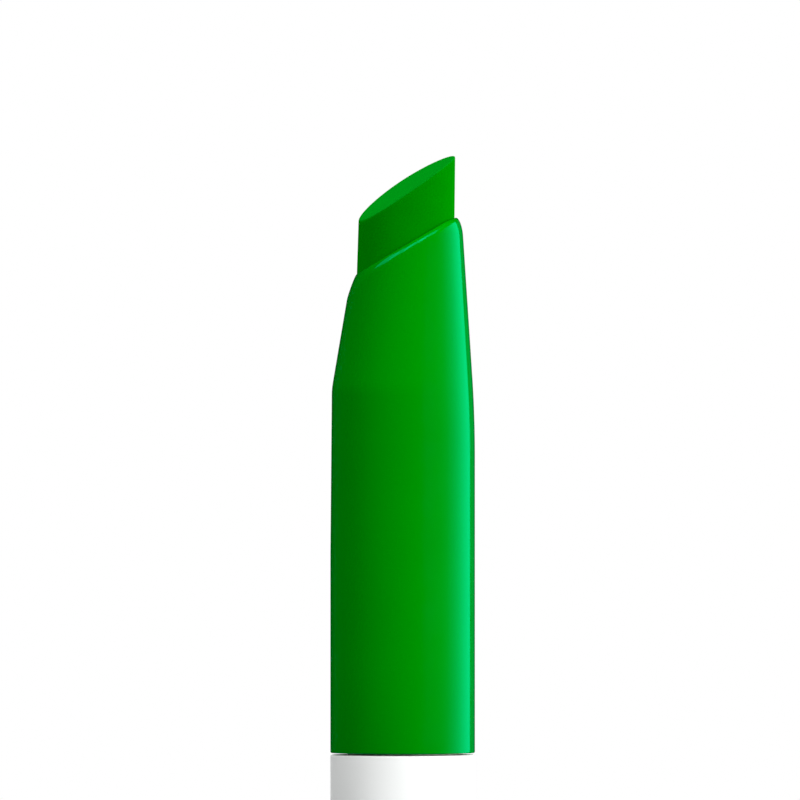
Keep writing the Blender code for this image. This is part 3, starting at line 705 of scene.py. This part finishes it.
class HOLDER_OT_end_plug(bpy.types.Operator):
    """Models the fluted end plug that closes the rear barrel and that the holder stands on"""

    bl_idname = "holder.end_plug"
    bl_label = "End plug"

    def execute(self, context):
        plug = context.scene.holder_plug
        top = span("end_plug")[1]
        length = span("rear_barrel")[0] - SLIDE
        spigot = hollow("rear_barrel") - PRESS
        groove = hollow("plug_o_ring") - PRESS / 2
        ring_z = sum(span("plug_o_ring")) / 2
        half_groove = 0.6 * MM
        bore, floor = 2.9 * MM, 3.0 * MM
        corner = 0.12 * MM
        run_out = 0.8 * MM  # length over which a flute fades out

        def fluted(end, share):
            """A place(angle) near an end of the flutes, share of the way to their full depth."""
            turn = share * math.pi / 2
            depth = plug.flute_depth * math.sin(turn)
            height = end + math.copysign(run_out, length / 2 - end) * (1 - math.cos(turn))

            def place(angle):
                cut = (0.5 + 0.5 * math.cos(plug.flutes * angle)) ** 1.5
                return circle(BARREL_RADIUS - depth * cut, height)(angle)

            return place

        piece = start_loop("end_plug_moulded", SIDES_PER_FLUTE * plug.flutes, circle(AXIS_HOLE, 0.0))
        draw_out(circle(BARREL_RADIUS - plug.edge, 0.0))
        round_over(0.0, plug.edge, even_steps(5))
        fade = even_steps(8)
        for share in fade:
            draw_out(fluted(plug.edge, share))
        for share in (*reversed(fade), 0.0):
            draw_out(fluted(length - plug.edge, share))
        round_over(length, -corner, (1.0, 0.5, 0.0))
        outline = (
            (spigot, length),
            (spigot, ring_z - half_groove),
            (groove, ring_z - half_groove),
            (groove, ring_z + half_groove),
            (spigot, ring_z + half_groove),
            (spigot, top - 2 * corner),
            (spigot - 2 * corner, top),
            (bore + corner, top),
            (bore, top - corner),
            (bore, floor),
            (AXIS_HOLE, floor),
        )
        for radius, height in outline:
            draw_out(circle(radius, height))
        bpy.ops.mesh.edge_face_add()
        select_edges(lambda edge: edge.is_boundary)
        bpy.ops.mesh.edge_face_add()
        end_edit(piece)
        hand_over(piece, "end_plug", bpy.data.materials["green_abs_polished"])
        return {"FINISHED"}


class HOLDER_OT_inner_parts(bpy.types.Operator):
    """Gives the parts inside the barrels their materials"""

    bl_idname = "holder.inner_parts"
    bl_label = "Inner parts"

    def execute(self, context):
        acetal = plain_matt("natural_acetal_moulded", "#E4E2D4", 0.35, 0.5, 0.4 * MM, 0.004 * MM)
        brass = turned_metal("brass_turned", "#C9A24B", 0.28, 0.12 * MM)
        steel = turned_metal("spring_steel_drawn", "#B9BBBF", 0.25, 0.2 * MM)
        rubber = plain_matt("nitrile_rubber_moulded", "#1B1B1C", 0.6, 0.8, 0.2 * MM, 0.01 * MM)
        foam = plain_matt("foam_cut", "#8B8B8D", 0.9, 1.0, 0.25 * MM, 0.05 * MM)
        finishes = {
            acetal: ("guide_liner", "connector", "drive_sleeve", "thrust_washer", "lead_cup"),
            brass: ("bearing_bush", "feed_nut", "feed_screw", "stop_washer"),
            steel: ("key_plate", "retaining_ring", "take_up_spring", "stop_screw", "cup_pin", "clamp_ring"),
            rubber: ("drag_o_ring", "plug_o_ring"),
            foam: ("lead_pad",),
        }
        for finish, nodes in finishes.items():
            for node in nodes:
                set_finish(frame["nodes"][node], finish)
        return {"FINISHED"}


def direction(turn, rise):
    """Unit vector; turn in degrees from -Y towards +X, rise in degrees above level."""
    turn, rise = math.radians(turn), math.radians(rise)
    return Vector((math.sin(turn) * math.cos(rise), -math.cos(turn) * math.cos(rise), math.sin(rise)))


def area_light(name, place, aim, size, power, glossy=True):
    """A soft rectangular light. One that isn't glossy lights the parts and leaves no reflection."""
    data = bpy.data.lights.new(name, "AREA")
    data.shape = "RECTANGLE"
    data.size, data.size_y = size
    data.energy = power
    light = bpy.data.objects.new(name, data)
    bpy.context.scene.collection.objects.link(light)
    light.location = place
    light.rotation_euler = (Vector(aim) - Vector(place)).to_track_quat("-Z", "Y").to_euler()
    light.visible_camera = False
    light.visible_glossy = glossy
    return light


class HOLDER_OT_stage(bpy.types.Operator):
    """Sets the pale floor, the soft studio light and the camera"""

    bl_idname = "holder.stage"
    bl_label = "Stage"

    LIGHTS_BELOW_TIP = 30 * MM  # the height on the axis that every light faces
    NEAR, FAR = 0.25, 2.0  # distances of the lights in metres
    FILL_WIDTH = 0.6  # of its distance
    # name, turn and rise in degrees, distance, watts
    FILLS = (
        ("left_back_fill", -140, 0, NEAR, 0.37),
        ("right_key", 50, 0, NEAR, 0.28),
        ("right_fill", 90, 0, NEAR, 0.14),
        ("high_right_key", 60, 55, FAR, 22.0),
        ("high_fill", 8, 42, FAR, 12.0),
        ("back_fill", 180, 10, NEAR, 0.45),
    )
    # turn and rise in degrees, watts
    OVERHEAD_PANELS = ((-80, 40, 5.5), (-45, 45, 7.0), (-10, 50, 9.0), (25, 52, 9.0))
    OVERHEAD_SIZE = (1.35, 0.7)
    EDGE_TURN, EDGE_SIZE, EDGE_POWER = 152, (0.75, 1.2), 0.5
    SOFTBOX_TURN, SOFTBOX_SIZE, SOFTBOX_POWER = 97, (1.238, 0.9), 10.2
    SOFTBOX_AWAY, SOFTBOX_FORWARD = 0.7, 0.031  # from the axis, and towards the front
    # share of the width from the near edge, and how bright it is there
    SOFTBOX_FADE = (
        (0.0, 0.0),
        (0.15, 0.03),
        (0.3, 0.14),
        (0.46, 0.44),
        (0.65, 0.9),
        (0.75, 1.0),
        (0.9, 0.95),
        (1.0, 0.75),
    )
    FLOOR_SIZE, FLOOR_GREY, FLOOR_GLOW = 5.0, 0.3, 0.72
    SKY_LIGHT = 0.12
    SKY_REFLECTION = 0.015
    # the view: its width, and how far its middle is below the tip and left of the axis
    VIEW_WIDTH, VIEW_BELOW_TIP, VIEW_LEFT = 66.46 * MM, 20.29 * MM, 0.22 * MM
    LENS, SENSOR = 800.0, 36.0

    def execute(self, context):
        scene = context.scene
        scene.view_settings.view_transform = "Standard"
        self.floor()
        self.lights()
        self.world(scene)
        self.camera(scene)
        return {"FINISHED"}

    def floor(self):
        """A matt white studio floor with a glow of its own, so that it stays pale far away."""
        deselect()
        bpy.ops.mesh.primitive_plane_add(size=self.FLOOR_SIZE)
        piece = begin("floor")
        bpy.ops.object.mode_set(mode="OBJECT")
        finish, tree, shader = new_material("white_studio_floor")
        grey = self.FLOOR_GREY
        shader.inputs["Base Color"].default_value = (grey, grey, grey, 1.0)
        shader.inputs["Emission Color"].default_value = (1.0, 1.0, 1.0, 1.0)
        shader.inputs["Emission Strength"].default_value = self.FLOOR_GLOW
        shader.inputs["Roughness"].default_value = 0.9
        shader.inputs["Specular IOR Level"].default_value = 0.0
        set_finish(piece, finish)
        piece.visible_diffuse = False
        piece.visible_glossy = False

    def lights(self):
        """Fills light the parts, and the panels and the softbox also show in their gloss."""
        middle = Vector((0.0, 0.0, TIP_Z - self.LIGHTS_BELOW_TIP))
        self.side_softbox(middle)
        for name, turn, rise, away, power in self.FILLS:
            place = middle + away * direction(turn, rise)
            width = self.FILL_WIDTH * away
            area_light(name, place, middle, (width, width), power, glossy=False)
        for i, (turn, rise, power) in enumerate(self.OVERHEAD_PANELS):
            place = middle + self.FAR * direction(turn, rise)
            area_light(f"overhead_panel_{i}", place, middle, self.OVERHEAD_SIZE, power)
        place = middle + self.FAR * direction(self.EDGE_TURN, 0)
        area_light("edge_panel", place, middle, self.EDGE_SIZE, self.EDGE_POWER)

    def side_softbox(self, middle):
        """Tall light at the right and behind, bright up to its far edge and fading towards its near one."""
        outward = direction(self.SOFTBOX_TURN, 0)
        along = direction(self.SOFTBOX_TURN + 90, 0)
        place = middle + self.SOFTBOX_AWAY * outward - self.SOFTBOX_FORWARD * along
        light = area_light("side_softbox", place, place - outward, self.SOFTBOX_SIZE, self.SOFTBOX_POWER)
        light.data.use_nodes = True
        tree = light.data.node_tree
        across = add_node(tree, "ShaderNodeNewGeometry")
        split = add_node(tree, "ShaderNodeSeparateXYZ", None, {"Vector": (across, "Parametric")})
        fade = add_node(tree, "ShaderNodeValToRGB", None, {"Fac": (split, "X")})
        stops = fade.color_ramp.elements
        first, *between, last = self.SOFTBOX_FADE
        stops[0].color = (first[1], first[1], first[1], 1.0)
        stops[1].color = (last[1], last[1], last[1], 1.0)
        for share, level in between:
            stops.new(share).color = (level, level, level, 1.0)
        tree.links.new(fade.outputs["Color"], tree.nodes["Emission"].inputs["Strength"])

    def world(self, scene):
        """White to the eye, a soft grey light on the parts, and dark in their reflections."""
        world = bpy.data.worlds.new("studio")
        scene.world = world
        world.use_nodes = True
        tree = world.node_tree
        sky = tree.nodes["Background"]
        ray = add_node(tree, "ShaderNodeLightPath")
        soft = add_node(
            tree, "ShaderNodeMath", {1: self.SKY_LIGHT}, {0: (ray, "Is Diffuse Ray")}, operation="MULTIPLY"
        )
        seen = add_node(
            tree, "ShaderNodeMath", None, {0: (soft, "Value"), 1: (ray, "Is Camera Ray")}, operation="ADD"
        )
        dim = add_node(
            tree,
            "ShaderNodeMath",
            {1: self.SKY_REFLECTION},
            {0: (ray, "Is Glossy Ray")},
            operation="MULTIPLY",
        )
        total = add_node(
            tree, "ShaderNodeMath", None, {0: (seen, "Value"), 1: (dim, "Value")}, operation="ADD"
        )
        tree.links.new(total.outputs["Value"], sky.inputs["Strength"])
        sky.inputs["Color"].default_value = (1.0, 1.0, 1.0, 1.0)

    def camera(self, scene):
        """A long lens, level with the nose, square to the slant of the mouth."""
        data = bpy.data.cameras.new("camera")
        data.sensor_width = self.SENSOR
        data.lens = self.LENS
        distance = self.VIEW_WIDTH * data.lens / data.sensor_width
        camera = bpy.data.objects.new("camera", data)
        scene.collection.objects.link(camera)
        camera.location = (-self.VIEW_LEFT, -distance, TIP_Z - self.VIEW_BELOW_TIP)
        camera.rotation_euler = (math.pi / 2, 0.0, 0.0)
        data.clip_start = 0.1
        scene.camera = camera


class HOLDER_PT_panel(bpy.types.Panel):
    """Lists the parts of the holder"""

    bl_label = "Lead Holder"
    bl_idname = "HOLDER_PT_panel"
    bl_space_type = "VIEW_3D"
    bl_region_type = "UI"
    bl_category = "Lead Holder"

    def draw(self, context):
        for group in SETTINGS:
            box = self.layout.box()
            settings = getattr(context.scene, group)
            for name in settings.__annotations__:
                box.prop(settings, name)
        for operator in OPERATORS:
            self.layout.operator(operator.bl_idname)


SETTINGS = {"holder_barrel": BarrelSettings, "holder_lead": LeadSettings, "holder_plug": PlugSettings}
OPERATORS = (
    HOLDER_OT_front_barrel,
    HOLDER_OT_lead,
    HOLDER_OT_rear_barrel,
    HOLDER_OT_end_plug,
    HOLDER_OT_inner_parts,
    HOLDER_OT_stage,
)


def register():
    for group in (*SETTINGS.values(), *OPERATORS, HOLDER_PT_panel):
        bpy.utils.register_class(group)
    for name, group in SETTINGS.items():
        setattr(bpy.types.Scene, name, bpy.props.PointerProperty(type=group))


def unregister():
    for name in SETTINGS:
        delattr(bpy.types.Scene, name)
    for group in reversed((*SETTINGS.values(), *OPERATORS, HOLDER_PT_panel)):
        bpy.utils.unregister_class(group)


def main():
    register()
    bpy.ops.holder.front_barrel()
    bpy.ops.holder.lead()
    bpy.ops.holder.rear_barrel()
    bpy.ops.holder.end_plug()
    bpy.ops.holder.inner_parts()
    bpy.ops.holder.stage()
    deselect()


if __name__ == "__main__":
    main()
